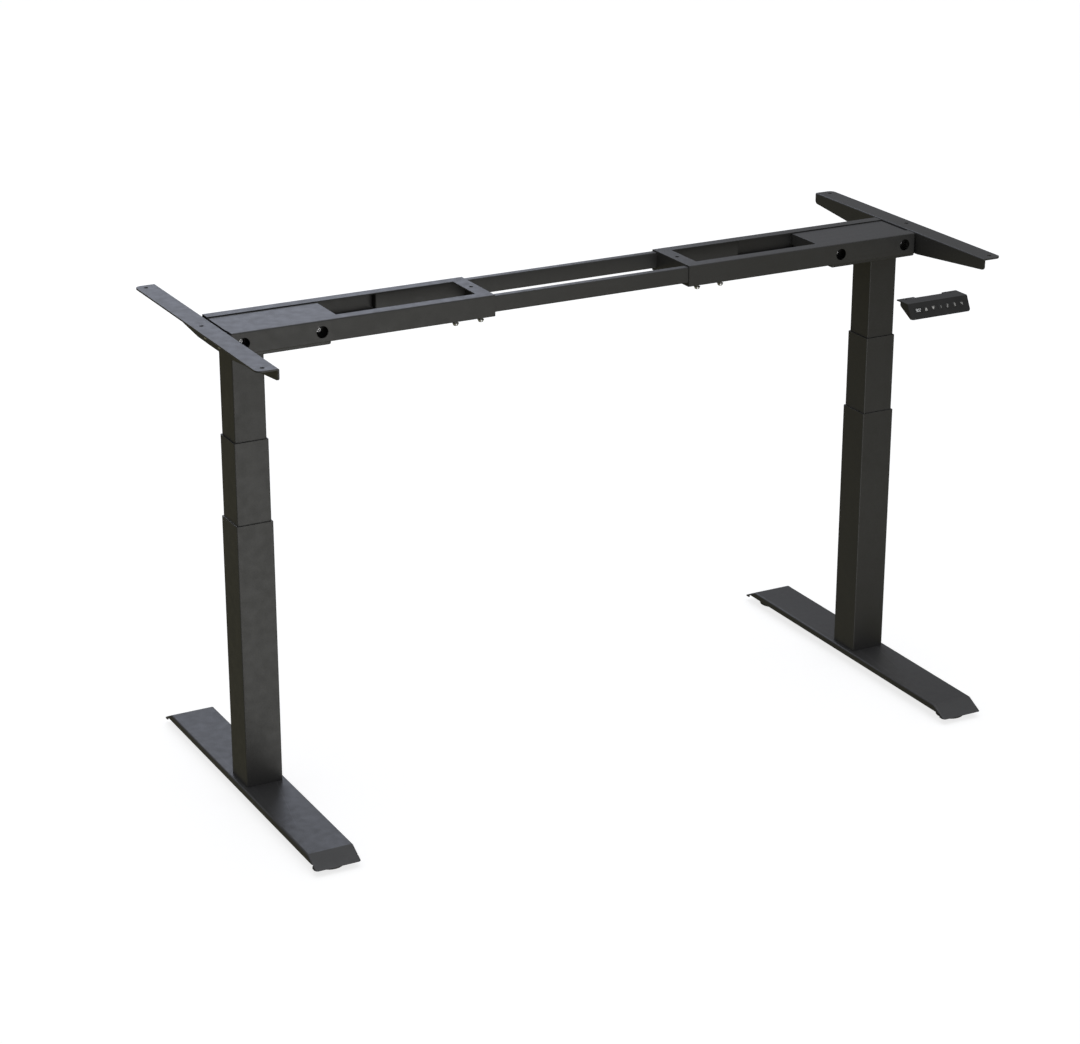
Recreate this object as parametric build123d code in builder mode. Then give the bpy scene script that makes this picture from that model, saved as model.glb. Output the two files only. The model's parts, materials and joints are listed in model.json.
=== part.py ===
"""Electric height adjustable desk frame: two three-stage legs, a width adjustable beam, a handset.

Millimetres, +Z up.  X runs along the beam, the user sits on the -Y side, and the floor is Z = 0.
The origin is on the floor, under the middle of the object's bounding box.
Everything is drawn at the rest height, with each telescopic stage EXTENSION above fully closed.
"""
from build123d import *
import math
import os

# ---- driving dimensions ---------------------------------------------------------------------
TOP_Z = 901.5            # underside of the tabletop at rest
LEG_X = 662.0            # leg axis from the middle of the desk
EXTENSION = 148.0        # rise of each stage at rest above fully closed
SIDES = {"left": -1, "right": 1}

# feet
FOOT_W = 88.0
FOOT_FLAT = 325.0        # half length of the flat top
FOOT_HALF = 361.0        # half length over the sloped end flaps
FOOT_TOP = 29.5
FLAP_Z = 11.5            # lower edge of the end flaps
FLANGE_Z = 18.0          # lower edge of the side flanges
FOOT_T = 3.0
FOOT_R = 3.6             # bend radius along the top
FLAP_R = 6.5             # rounded lower corners of the end flaps
GLIDE_Y = 320.0
GLIDE_D = 54.0
GLIDE_PAD = 7.0          # height of the round pad
GLIDE_NECK = 16.0
STUD_D = 8.0             # levelling stud and column bolts
WELD_NUT_H = 9.0
WELD_NUT_R = 8.2
BOLT_HEAD = 14.0
BOLT_HEAD_H = 4.4

# telescopic columns
OUTER_W = 70.0
MIDDLE_W = 65.0
INNER_W = 60.0
WALL = 1.5
COLUMN_R = 1.9
OUTER_TOP = FOOT_TOP + 507.0
MIDDLE_TOP = FOOT_TOP + 660.5
MIDDLE_LEN = 500.0
INNER_BOTTOM = FOOT_TOP + 314.5
BASE_PLATE = 8.0
BOLT_PITCH = 44.0        # column bolts, square pattern
CARRIER_T = 4.0          # plate in the lower end of the middle column
TONGUE_W = 6.0
TOP_PLATE = (62.0, 5.0)  # width and thickness of the plate on top of the inner column
SLIDER_T = 0.8
SLIDER_LEN = 45.0

# telescopic spindle
TUBE_D = 30.0
SCREW_D = 14.0
HOLLOW_D = 22.0
NUT_Z = FOOT_TOP + 456.0     # top of the support tube, where the lower nut sits
TUBE_BORE = 26.0
TUBE_FOOT = (34.0, 4.0)  # width and thickness of the flange under the support tube
SLOT_W = 7.0
SLOT_LEN = 336.0
LOWER_NUT = (36.0, 24.0)     # diameter and height above the tube
LOWER_NUT_SKIRT = 25.0       # length inside the tube
UPPER_NUT = (26.0, 18.0)
UPPER_NUT_FLANGE = (34.0, 6.0)
NUT_SEAT = 14.0              # top of the hollow screw below the middle column's rim
GROOVE_D = 18.8              # groove that the carrier plate drives
GROOVE_H = 4.6
RUN = 0.05               # radial running clearance of turning and sliding shafts

# beam
BEAM_HALF = 67.7         # half width over the channels
CHANNEL_H = 40.0
CHANNEL_W = 22.7
SHEET = 2.0
MOUTH_X = 201.0          # inner ends of the channels
CHANNEL_END = 705.0
RAIL_W = 15.0
RAIL_H = 30.0
RAIL_HALF = 380.0
RAIL_TOP = TOP_Z - SHEET - 0.6
RAIL_Y = BEAM_HALF - SHEET - 0.3 - RAIL_W / 2
CROSS_W = 28.0
STRIP_X = 300.0          # end of the threaded strip for the lock screws
STRIP_T = 4.0
LOCK_X = (225.0, 275.0)
LOCK_Y = 57.0
LOCK_D = 6.0
LOCK_HEADS = ((12.0, 5.0), (10.0, 9.0))   # diameter and depth below the channel of flange and head
SIDE_PLATE_X = 512.0     # start of the plate beside the motor housing
SIDE_PLATE_T = 2.5
ACCESS_X = (537.0, 683.0)
ACCESS_Z = TOP_Z - 21.0
ACCESS_D = 22.0

# motor housing
PAN_Z = TOP_Z - 46.0
PAN_HALF = 64.5
HOUSING_IN = 519.0
HOUSING_OUT = 709.3
HOUSING_HALF = 45.0
HOUSING_T = 2.4
COVER_IN = 498.0
COVER_Z = TOP_Z - 2.0
COVER_LIP = 22.0         # depth of the cover's folded end
FRAME_HOLE_D = 8.4       # holes for the bolts behind the access holes

# drive
GEARBOX_HALF = 31.0
GEARBOX_TOP = COVER_Z - SHEET - 1.5
GEARBOX_SCREW = 24.0     # from the axis to its cover screws
MOTOR_D = 35.0
MOTOR_Z = PAN_Z + 22.0
MOTOR_END = 538.0

# side brackets
BRACKET_IN = 709.5
BRACKET_OUT = 749.5
BRACKET_HALF = 283.5
BRACKET_T = 3.0
TIP_DEPTH = 21.0
ROOT_DEPTH = 42.0
ROOT_HALF = 72.0
HOLE_X = 733.0
HOLE_PITCH = 267.0
HOLE_D = 8.0
BRACKET_BOLTS = [(y, z) for y in (-32.0, 32.0) for z in (PAN_Z + 16, PAN_Z + 34)]
BRACKET_BOLT_D = 5.9
BRACKET_BOLT_HOLE = 6.4

# handset
HAND_X = 477.0
HAND_W = 128.0
HAND_EAR = 426.5         # distances in front of the leg axes, from the back to the front
HAND_NOTCH = 432.0
HAND_BACK = 438.0
HAND_LIP = 460.0
HAND_TOE = 473.0
HAND_DROP = 26.5
HAND_HOLES = 96.0        # spacing of the two screw holes in the ears
KEY_X = [449.0 + 15.3 * i for i in range(6)]
KEY_D = 10.0
KEY_FACE = 13.5          # keys and display down the sloped face from its upper edge
KEY_FLANGE = 12.5
KEY_PROUD = 0.5
LENS_X = 432.5
LENS = (18.0, 10.0)
HAND_WALL = 1.8
HAND_PLATE = 2.0
HAND_R = 5.0             # rounded lower corners
BOARD_DEPTH = 4.6
BOARD = (HAND_W - 10.0, 15.0, 1.2)
FACE_LEN = math.hypot(HAND_TOE - HAND_LIP, HAND_DROP)
FACE_N = Vector(0, -HAND_DROP, HAND_TOE - HAND_LIP) / FACE_LEN
FACE_D = Vector(0, -(HAND_TOE - HAND_LIP), -HAND_DROP) / FACE_LEN

# the leg plane stands behind the middle of the bounding box, because the handset reaches forward
LEG_Y = (HAND_TOE - FOOT_HALF) / 2

os.makedirs("parts", exist_ok=True)


def save(piece, node):
    piece.label = node
    export_step(piece, f"parts/{node}.step")


def level(z, x=0.0, y=0.0):
    """A horizontal plane at height z, centred at x and at y from the leg plane."""
    return Plane(origin=(x, LEG_Y + y, z))


def upright(x, z=0.0):
    """A vertical plane across the beam at x: local X runs along +Y, local Y along +Z, normal +X."""
    return Plane(origin=(x, LEG_Y, z), x_dir=(0, 1, 0), z_dir=(1, 0, 0))


def block(x0, x1, y0, y1, z0, z1, mode=Mode.ADD):
    """A box between two corners, y counted from the leg plane, in the running part."""
    with BuildSketch(level(min(z0, z1), (x0 + x1) / 2, (y0 + y1) / 2)) as base:
        Rectangle(abs(x1 - x0), abs(y1 - y0))
    extrude(base.sketch, amount=abs(z1 - z0), mode=mode)


def square_tube(x, width, z0, z1, wall, radius):
    with BuildSketch(level(z0, x)) as ring:
        RectangleRounded(width, width, radius)
        RectangleRounded(width - 2 * wall, width - 2 * wall, max(radius - wall, 0.4), mode=Mode.SUBTRACT)
    extrude(ring.sketch, amount=z1 - z0)


def rod(x, y, z0, z1, diameter, mode=Mode.ADD):
    with BuildSketch(level(z0, x, y)) as disc:
        Circle(diameter / 2)
    extrude(disc.sketch, amount=z1 - z0, mode=mode)


def cross_bolt(x, y_head, z, side_y, shank, head, head_t, length):
    """A round-head bolt along Y: its head stands towards side_y, its shank runs the other way."""
    seat = Plane(origin=(x, LEG_Y + y_head, z), x_dir=(1, 0, 0), z_dir=(0, side_y, 0))
    with BuildSketch(seat) as head_disc:
        Circle(head / 2)
    extrude(head_disc.sketch, amount=head_t)
    with BuildSketch(seat) as shank_disc:
        Circle(shank / 2)
    extrude(shank_disc.sketch, amount=-length)


# ---- feet -----------------------------------------------------------------------------------
def foot_outline(inset, top, bottom):
    """Corners of the foot's side outline: flat top, sloped ends moved in by inset across the slope."""
    slope = (FOOT_HALF - FOOT_FLAT) / (FOOT_TOP - FLAP_Z)
    reach = inset * math.hypot(1, slope)
    y_top = FOOT_HALF - (top - FLAP_Z) * slope - reach
    y_bottom = FOOT_HALF - (bottom - FLAP_Z) * slope - reach
    return [(-y_bottom, bottom), (-y_top, top), (y_top, top), (y_bottom, bottom)]


def round_flap(x, e):
    """Cuts the two lower corners of the end flap on side e of the running foot to a radius."""
    normal = (0, e * (FOOT_TOP - FLAP_Z), FOOT_HALF - FOOT_FLAT)
    flap = Plane(origin=(x, LEG_Y + e * FOOT_HALF, FLAP_Z), x_dir=(1, 0, 0), z_dir=normal)
    with BuildSketch(flap) as corners:
        for c in (-1, 1):
            with Locations((c * (FOOT_W - FLAP_R) / 2, -e * FLAP_R / 2)):
                Rectangle(FLAP_R, FLAP_R)
            with Locations((c * (FOOT_W / 2 - FLAP_R), -e * FLAP_R)):
                Circle(FLAP_R, mode=Mode.SUBTRACT)
    extrude(corners.sketch, amount=FOOT_T + 1.5, both=True, mode=Mode.SUBTRACT)


def foot(side):
    name, s = side
    x = s * LEG_X
    with BuildPart() as part:
        with BuildSketch(upright(x)):
            with BuildLine():
                Polyline(*foot_outline(0, FOOT_TOP, FLAP_Z), close=True)
            make_face()
        extrude(amount=FOOT_W / 2, both=True)
        ridges = [e for e in part.edges().filter_by(GeomType.LINE)
                  if abs(abs(e.center().X - x) - FOOT_W / 2) < 0.01 and e.center().Z > FLAP_Z + 1]
        fillet(ridges, FOOT_R)
        with BuildSketch(upright(x)):
            with BuildLine():
                Polyline(*foot_outline(FOOT_T, FOOT_TOP - FOOT_T, FLAP_Z - 1), close=True)
            make_face()
        extrude(amount=FOOT_W / 2 - FOOT_T, both=True, mode=Mode.SUBTRACT)
        # the side flanges stop above the lower edge of the end flaps
        for e in (-1, 1):
            edge_x = x + e * (FOOT_W / 2 - FOOT_T / 2)
            block(edge_x - FOOT_T, edge_x + FOOT_T, -FOOT_HALF + 14, FOOT_HALF - 14, 0, FLANGE_Z, Mode.SUBTRACT)
            round_flap(x, e)
        # weld nuts for the glides
        for e in (-1, 1):
            with BuildSketch(level(FOOT_TOP - FOOT_T - WELD_NUT_H, x, e * GLIDE_Y)):
                RegularPolygon(WELD_NUT_R, 6)
            extrude(amount=WELD_NUT_H + 0.2)
            rod(x, e * GLIDE_Y, 0, FOOT_TOP - FOOT_T, STUD_D + 2 * RUN, Mode.SUBTRACT)
        for dx in (-1, 1):
            for dy in (-1, 1):
                rod(x + dx * BOLT_PITCH / 2, dy * BOLT_PITCH / 2, FOOT_TOP - 5, FOOT_TOP + 1, STUD_D + 1, Mode.SUBTRACT)
    save(part.part, f"{name}_foot")


def foot_bolts(side):
    name, s = side
    with BuildPart() as part:
        for dx in (-1, 1):
            for dy in (-1, 1):
                x, y = s * LEG_X + dx * BOLT_PITCH / 2, dy * BOLT_PITCH / 2
                rod(x, y, FOOT_TOP - FOOT_T - BOLT_HEAD_H, FOOT_TOP - FOOT_T, BOLT_HEAD)
                rod(x, y, FOOT_TOP - FOOT_T, FOOT_TOP + BASE_PLATE - 0.5, STUD_D - 0.1)
                with BuildSketch(level(FOOT_TOP - FOOT_T - BOLT_HEAD_H, x, y)):
                    RegularPolygon(2.9, 6)
                extrude(amount=2.6, mode=Mode.SUBTRACT)
    save(part.part, f"{name}_foot_bolts")


def glide(side, end):
    name, s = side
    label, e = end
    with BuildPart() as part:
        rod(s * LEG_X, e * GLIDE_Y, 0, GLIDE_PAD, GLIDE_D)
        fillet(part.edges().group_by(Axis.Z)[-1], 2.5)
        chamfer(part.edges().group_by(Axis.Z)[0], 0.8)
        rod(s * LEG_X, e * GLIDE_Y, GLIDE_PAD, GLIDE_PAD + 2.5, GLIDE_NECK)
        rod(s * LEG_X, e * GLIDE_Y, GLIDE_PAD + 2.5, FOOT_TOP - FOOT_T - 1.5, STUD_D)
    save(part.part, f"{name}_glide_{label}")


# ---- telescopic columns ---------------------------------------------------------------------
def outer_column(side):
    name, s = side
    x = s * LEG_X
    with BuildPart() as part:
        square_tube(x, OUTER_W, FOOT_TOP, OUTER_TOP, WALL, COLUMN_R)
        with BuildSketch(level(FOOT_TOP, x)):
            RectangleRounded(OUTER_W - 2 * WALL + 0.2, OUTER_W - 2 * WALL + 0.2, COLUMN_R - WALL)
            with GridLocations(BOLT_PITCH, BOLT_PITCH, 2, 2):
                Circle(STUD_D / 2, mode=Mode.SUBTRACT)
        extrude(amount=BASE_PLATE)
    save(part.part, f"{name}_outer_column")


def middle_column(side):
    name, s = side
    x = s * LEG_X
    bottom = MIDDLE_TOP - MIDDLE_LEN
    with BuildPart() as part:
        square_tube(x, MIDDLE_W, bottom, MIDDLE_TOP, WALL, COLUMN_R)
        # carrier plate: two tongues reach through the support tube's slots into the screw's groove
        with BuildSketch(level(bottom, x)):
            RectangleRounded(MIDDLE_W - 2 * WALL + 0.2, MIDDLE_W - 2 * WALL + 0.2, 1.4)
            Circle(TUBE_D / 2 + 0.8, mode=Mode.SUBTRACT)
            for e in (-1, 1):
                with Locations((e * 14.0, 0)):
                    Rectangle(8.6, TONGUE_W)
        extrude(amount=CARRIER_T)
    save(part.part, f"{name}_middle_column")


def inner_column(side):
    name, s = side
    x = s * LEG_X
    with BuildPart() as part:
        square_tube(x, INNER_W, INNER_BOTTOM, PAN_Z + HOUSING_T, WALL, COLUMN_R)
        with BuildSketch(level(PAN_Z + HOUSING_T, x)):
            RectangleRounded(TOP_PLATE[0], 2 * (HOUSING_HALF - HOUSING_T) - 1.0, 4)
            Circle(SCREW_D / 2 + 2, mode=Mode.SUBTRACT)
        extrude(amount=TOP_PLATE[1])
    save(part.part, f"{name}_inner_column")


def sliders(side, node, width, z):
    """Four plastic pads on the lower end of a column, one on each face."""
    name, s = side
    with BuildPart() as part:
        for k in range(4):
            face = Plane(origin=(s * LEG_X, LEG_Y, z)).rotated((0, 0, 90 * k))
            with BuildSketch(face):
                with Locations(((width + SLIDER_T) / 2, 0)):
                    Rectangle(SLIDER_T, width - 22)
            extrude(amount=SLIDER_LEN)
    save(part.part, f"{name}_{node}")


# ---- telescopic spindle ---------------------------------------------------------------------
def spindle_tube(side):
    name, s = side
    x = s * LEG_X
    foot_z = FOOT_TOP + BASE_PLATE
    with BuildPart() as part:
        with BuildSketch(level(foot_z, x)):
            RectangleRounded(TUBE_FOOT[0], TUBE_FOOT[0], 3)
        extrude(amount=TUBE_FOOT[1])
        rod(x, 0, foot_z, NUT_Z, TUBE_D)
        rod(x, 0, foot_z - 1, NUT_Z + 1, TUBE_BORE, Mode.SUBTRACT)
        # two long slots let the carrier plate travel
        slot_z = foot_z + TUBE_FOOT[1] + 0.2
        block(x - TUBE_D, x + TUBE_D, -SLOT_W / 2, SLOT_W / 2, slot_z, slot_z + SLOT_LEN, Mode.SUBTRACT)
    save(part.part, f"{name}_spindle_tube")


def lower_nut(side):
    name, s = side
    x = s * LEG_X
    with BuildPart() as part:
        rod(x, 0, NUT_Z, NUT_Z + LOWER_NUT[1], LOWER_NUT[0])
        rod(x, 0, NUT_Z - LOWER_NUT_SKIRT, NUT_Z, TUBE_BORE - 0.2)
        rod(x, 0, NUT_Z - 2 * LOWER_NUT_SKIRT, NUT_Z + 2 * LOWER_NUT[1], HOLLOW_D + 2 * RUN, Mode.SUBTRACT)
        chamfer(part.edges().group_by(Axis.Z)[-1].sort_by(SortBy.RADIUS)[-1], 1.5)
    save(part.part, f"{name}_lower_nut")


def hollow_screw(side):
    name, s = side
    x = s * LEG_X
    bottom = MIDDLE_TOP - MIDDLE_LEN
    with BuildPart() as part:
        rod(x, 0, bottom - 3.5, MIDDLE_TOP - NUT_SEAT, HOLLOW_D)
        rod(x, 0, bottom - 4.5, MIDDLE_TOP, SCREW_D + 1.2, Mode.SUBTRACT)
        # the groove that the carrier plate's tongues drive
        with BuildSketch(level(bottom - (GROOVE_H - CARRIER_T) / 2, x)):
            Circle(HOLLOW_D / 2 + 1)
            Circle(GROOVE_D / 2, mode=Mode.SUBTRACT)
        extrude(amount=GROOVE_H, mode=Mode.SUBTRACT)
    save(part.part, f"{name}_hollow_screw")


def upper_nut(side):
    name, s = side
    x = s * LEG_X
    z = MIDDLE_TOP - NUT_SEAT
    with BuildPart() as part:
        rod(x, 0, z, z + UPPER_NUT_FLANGE[1], UPPER_NUT_FLANGE[0])
        rod(x, 0, z + UPPER_NUT_FLANGE[1], z + UPPER_NUT[1], UPPER_NUT[0])
        rod(x, 0, z - 1, z + UPPER_NUT[1] + 1, SCREW_D + 2 * RUN, Mode.SUBTRACT)
    save(part.part, f"{name}_upper_nut")


def lead_screw(side):
    name, s = side
    x = s * LEG_X
    with BuildPart() as part:
        rod(x, 0, INNER_BOTTOM + 8, PAN_Z + 32, SCREW_D)
        chamfer(part.edges().group_by(Axis.Z)[0], 1.5)
        chamfer(part.edges().group_by(Axis.Z)[-1], 1.0)
    save(part.part, f"{name}_lead_screw")


# ---- drive ----------------------------------------------------------------------------------
def gearbox(side):
    name, s = side
    x = s * LEG_X
    z = PAN_Z + HOUSING_T + TOP_PLATE[1]
    with BuildPart() as part:
        with BuildSketch(level(z, x)):
            RectangleRounded(2 * GEARBOX_HALF, 2 * GEARBOX_HALF, 8)
        extrude(amount=GEARBOX_TOP - z)
        fillet(part.edges().group_by(Axis.Z)[-1], 2)
        for dx in (-1, 1):
            for dy in (-1, 1):
                rod(x + dx * GEARBOX_SCREW, dy * GEARBOX_SCREW, GEARBOX_TOP - 3, GEARBOX_TOP + 1, 7, Mode.SUBTRACT)
        rod(x, 0, z - 1, PAN_Z + 33, SCREW_D + 2 * RUN, Mode.SUBTRACT)
    save(part.part, f"{name}_gearbox")


def motor(side):
    """Motor lying along the beam on the inboard side of the gearbox, with its lead socket."""
    name, s = side
    start = LEG_X - GEARBOX_HALF
    with BuildPart() as part:
        with BuildSketch(upright(s * start, MOTOR_Z)):
            Circle(MOTOR_D / 2 - 2)
        extrude(amount=-s * 4)
        with BuildSketch(upright(s * (start - 4), MOTOR_Z)):
            Circle(MOTOR_D / 2)
        extrude(amount=-s * (start - 10 - MOTOR_END))
        fillet(part.edges().filter_by(GeomType.CIRCLE).sort_by(Axis.X)[0 if s > 0 else -1], 2)
        with BuildSketch(upright(s * (MOTOR_END + 6), MOTOR_Z)):
            Circle(7)
        extrude(amount=-s * 4)
        with BuildSketch(upright(s * (MOTOR_END + 6), MOTOR_Z - 11)):
            Rectangle(12, 7)
            Rectangle(9, 4, mode=Mode.SUBTRACT)
        extrude(amount=-s * 5)
    save(part.part, f"{name}_motor")


def motor_housing(side):
    name, s = side
    x0, x1 = s * HOUSING_IN, s * HOUSING_OUT
    mid = (x0 + x1) / 2
    length = HOUSING_OUT - HOUSING_IN
    deck = TOP_Z - CHANNEL_H
    with BuildPart() as part:
        # shallow pan under the channels
        with BuildSketch(level(PAN_Z, mid)):
            RectangleRounded(length, 2 * PAN_HALF, 4)
        extrude(amount=deck - PAN_Z)
        chamfer(part.edges().group_by(Axis.Z)[0], 1.6)
        with BuildSketch(level(PAN_Z + HOUSING_T, mid)):
            RectangleRounded(length - 2 * HOUSING_T, 2 * (PAN_HALF - HOUSING_T), 2)
        extrude(amount=deck, mode=Mode.SUBTRACT)
        # upright walls between the channels
        with BuildSketch(level(PAN_Z + 1, mid)):
            Rectangle(length, 2 * HOUSING_HALF)
            Rectangle(length - 2 * HOUSING_T, 2 * (HOUSING_HALF - HOUSING_T), mode=Mode.SUBTRACT)
        extrude(amount=COVER_Z - SHEET - PAN_Z - 1)
        with BuildSketch(level(PAN_Z - 1, s * LEG_X)):
            RectangleRounded(INNER_W + 0.4, INNER_W + 0.4, COLUMN_R + 0.2)
        extrude(amount=HOUSING_T + 2, mode=Mode.SUBTRACT)
        for bolt_x in ACCESS_X:
            across = Plane(origin=(s * bolt_x, LEG_Y, ACCESS_Z), x_dir=(1, 0, 0), z_dir=(0, 1, 0))
            with BuildSketch(across):
                Circle(FRAME_HOLE_D / 2)
            extrude(amount=60, both=True, mode=Mode.SUBTRACT)
        with BuildSketch(upright(x1)):
            for y, z in BRACKET_BOLTS:
                with Locations((y, z)):
                    Circle(BRACKET_BOLT_HOLE / 2)
        extrude(amount=5, both=True, mode=Mode.SUBTRACT)
    save(part.part, f"{name}_motor_housing")


def cover(side):
    name, s = side
    x0, x1 = s * COVER_IN, s * (CHANNEL_END - 1)
    half = HOUSING_HALF - 0.6
    with BuildPart() as part:
        block(x0, x1, -half, half, COVER_Z - SHEET, COVER_Z)
        block(x0, x0 + s * SHEET, -half, half, COVER_Z - COVER_LIP, COVER_Z - SHEET)
    save(part.part, f"{name}_cover")


def frame_bolts(side):
    """Bolts behind the access holes, and bolts that hold the side bracket to the housing."""
    name, s = side
    seat = HOUSING_HALF + 2.6
    with BuildPart() as part:
        for bolt_x in ACCESS_X:
            for e in (-1, 1):
                cross_bolt(s * bolt_x, e * seat, ACCESS_Z, e, STUD_D - 0.1, BOLT_HEAD, BOLT_HEAD_H, 12)
        for y, z in BRACKET_BOLTS:
            with BuildSketch(upright(s * (BRACKET_IN + BRACKET_T))):
                with Locations((y, z)):
                    Circle(5.5)
            extrude(amount=s * 3.4)
            with BuildSketch(upright(s * (BRACKET_IN + BRACKET_T))):
                with Locations((y, z)):
                    Circle(BRACKET_BOLT_D / 2)
            extrude(amount=-s * 9)
    save(part.part, f"{name}_frame_bolts")


# ---- beam -----------------------------------------------------------------------------------
def side_bracket(side):
    name, s = side
    x0, x1 = s * BRACKET_IN, s * BRACKET_OUT
    with BuildPart() as part:
        with BuildSketch(level(TOP_Z - BRACKET_T, (x0 + x1) / 2)):
            Rectangle(abs(x1 - x0), 2 * BRACKET_HALF)
        extrude(amount=BRACKET_T)
        outer = [e for e in part.edges().filter_by(Axis.Z) if abs(e.center().X - x1) < 0.01]
        fillet(outer, 12)
        with BuildSketch(upright(x0, TOP_Z)) as profile:
            with BuildLine():
                Polyline((-BRACKET_HALF, 0), (-BRACKET_HALF, -TIP_DEPTH), (-ROOT_HALF, -ROOT_DEPTH),
                         (ROOT_HALF, -ROOT_DEPTH), (BRACKET_HALF, -TIP_DEPTH), (BRACKET_HALF, 0), close=True)
            make_face()
            fillet([v for v in profile.vertices() if abs(v.Y + TIP_DEPTH) < 0.01], 7)
        extrude(amount=s * BRACKET_T)
        bend = [e for e in part.edges().filter_by(Axis.Y)
                if abs(e.center().X - x0) < 0.01 and e.center().Z > TOP_Z - 0.01]
        fillet(bend, 2.4)
        for y in (-HOLE_PITCH, 0, HOLE_PITCH):
            rod(s * HOLE_X, y, TOP_Z - BRACKET_T - 1, TOP_Z + 1, HOLE_D, Mode.SUBTRACT)
        with BuildSketch(upright(x0)):
            for y, z in BRACKET_BOLTS:
                with Locations((y, z)):
                    Circle(BRACKET_BOLT_HOLE / 2)
        extrude(amount=6, both=True, mode=Mode.SUBTRACT)
    save(part.part, f"{name}_side_bracket")


def channel(side, row):
    """C-section channel that opens towards the middle of the beam; row is front or back."""
    name, s = side
    label, e = row
    run = s * (CHANNEL_END - MOUTH_X)
    web, lip = e * BEAM_HALF, e * (BEAM_HALF - CHANNEL_W)
    inner = e * (BEAM_HALF - SHEET)
    with BuildPart() as part:
        with BuildSketch(upright(s * MOUTH_X, TOP_Z)):
            with BuildLine():
                Polyline((lip, 0), (web, 0), (web, -CHANNEL_H), (lip, -CHANNEL_H), (lip, -CHANNEL_H + SHEET),
                         (inner, -CHANNEL_H + SHEET), (inner, -SHEET), (lip, -SHEET), close=True)
            make_face()
        extrude(amount=run)
        corners = [c for c in part.edges().filter_by(Axis.X) if abs(c.center().Y - LEG_Y - web) < 0.01]
        fillet(corners, 2.2)
        inside = [c for c in part.edges().filter_by(Axis.X) if abs(c.center().Y - LEG_Y - inner) < 0.01]
        fillet(inside, 0.6)
        # plate that closes the channel beside the motor housing
        deck = TOP_Z - CHANNEL_H + SHEET
        block(s * SIDE_PLATE_X, s * (CHANNEL_END - 2), lip, lip + e * SIDE_PLATE_T, deck - 0.1, TOP_Z - SHEET + 0.1)
        # threaded strip for the lock screws
        block(s * (MOUTH_X + 1), s * STRIP_X, e * (LOCK_Y - 7), e * (LOCK_Y + 7), deck - 0.1, deck + STRIP_T)
        for lock_x in LOCK_X:
            rod(s * lock_x, e * LOCK_Y, deck - SHEET - 1, deck + STRIP_T + 1, LOCK_D + 0.1, Mode.SUBTRACT)
        for bolt_x in ACCESS_X:
            across = Plane(origin=(s * bolt_x, LEG_Y + lip, ACCESS_Z), x_dir=(1, 0, 0), z_dir=(0, e, 0))
            with BuildSketch(across):
                Circle(FRAME_HOLE_D / 2)
            extrude(amount=6, both=True, mode=Mode.SUBTRACT)
            with BuildSketch(across.offset(CHANNEL_W)):
                Circle(ACCESS_D / 2)
            extrude(amount=5, both=True, mode=Mode.SUBTRACT)
    save(part.part, f"{name}_{label}_channel")


def cross_member(side):
    """Bent plate that ties the two channels together at their inner ends."""
    name, s = side
    x0 = s * MOUTH_X
    lip = BEAM_HALF - CHANNEL_W
    with BuildPart() as part:
        block(x0, x0 + s * CROSS_W, -lip, lip, TOP_Z - SHEET, TOP_Z)
        block(x0, x0 + s * SHEET, -lip, lip, TOP_Z - CHANNEL_H, TOP_Z)
        block(x0, x0 + s * SHEET, -lip - 4.8, lip + 4.8, TOP_Z - CHANNEL_H + SHEET, TOP_Z - SHEET)
        rod(s * (MOUTH_X + 14), 0, TOP_Z - SHEET - 1, TOP_Z + 1, HOLE_D, Mode.SUBTRACT)
    save(part.part, f"{name}_cross_member")


def lock_screws(side):
    name, s = side
    under = TOP_Z - CHANNEL_H
    with BuildPart() as part:
        for lock_x in LOCK_X:
            for e in (-1, 1):
                top = RAIL_TOP - RAIL_H - 0.1
                for diameter, depth in ((LOCK_D, 4.0), *LOCK_HEADS):
                    rod(s * lock_x, e * LOCK_Y, under - depth, top, diameter)
                    top = under - depth
    save(part.part, f"{name}_lock_screws")


def rail(row):
    label, e = row
    with BuildPart() as part:
        with BuildSketch(upright(-RAIL_HALF, RAIL_TOP - RAIL_H / 2)):
            with Locations((e * RAIL_Y, 0)):
                RectangleRounded(RAIL_W, RAIL_H, 2.2)
                RectangleRounded(RAIL_W - 4, RAIL_H - 4, 0.8, mode=Mode.SUBTRACT)
        extrude(amount=2 * RAIL_HALF)
    save(part.part, f"{label}_rail")


# ---- handset --------------------------------------------------------------------------------
def face_plane(x, down, height=0.0):
    """Plane on the sloped face: down from its upper edge, raised along its outward normal."""
    origin = Vector(x, LEG_Y - HAND_LIP, TOP_Z) + FACE_D * down + FACE_N * height
    return Plane(origin=origin, x_dir=(1, 0, 0), z_dir=FACE_N)


def wedge(inset):
    """Wedge body under the mounting plate; inset makes the smaller wedge of its cavity."""
    half = HAND_W / 2 - inset
    with BuildPart(mode=Mode.PRIVATE) as body:
        with BuildSketch(upright(HAND_X, TOP_Z)) as outline:
            with BuildLine():
                Polyline((-HAND_LIP, 0), (-HAND_TOE, -HAND_DROP), (-HAND_TOE + 6, -HAND_DROP - 1),
                         (-HAND_BACK, -12), (-HAND_BACK, 0), close=True)
            make_face()
            if inset:
                offset(amount=-inset, kind=Kind.INTERSECTION)
        extrude(amount=half, both=True)
        corners = [e for e in body.edges() if abs(abs(e.center().X - HAND_X) - half) < 0.01
                   and e.center().Z < TOP_Z - 16 and abs(e.tangent_at(0.5).Y) > 0.8]
        fillet(corners, HAND_R - inset)
    return body.part


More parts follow.
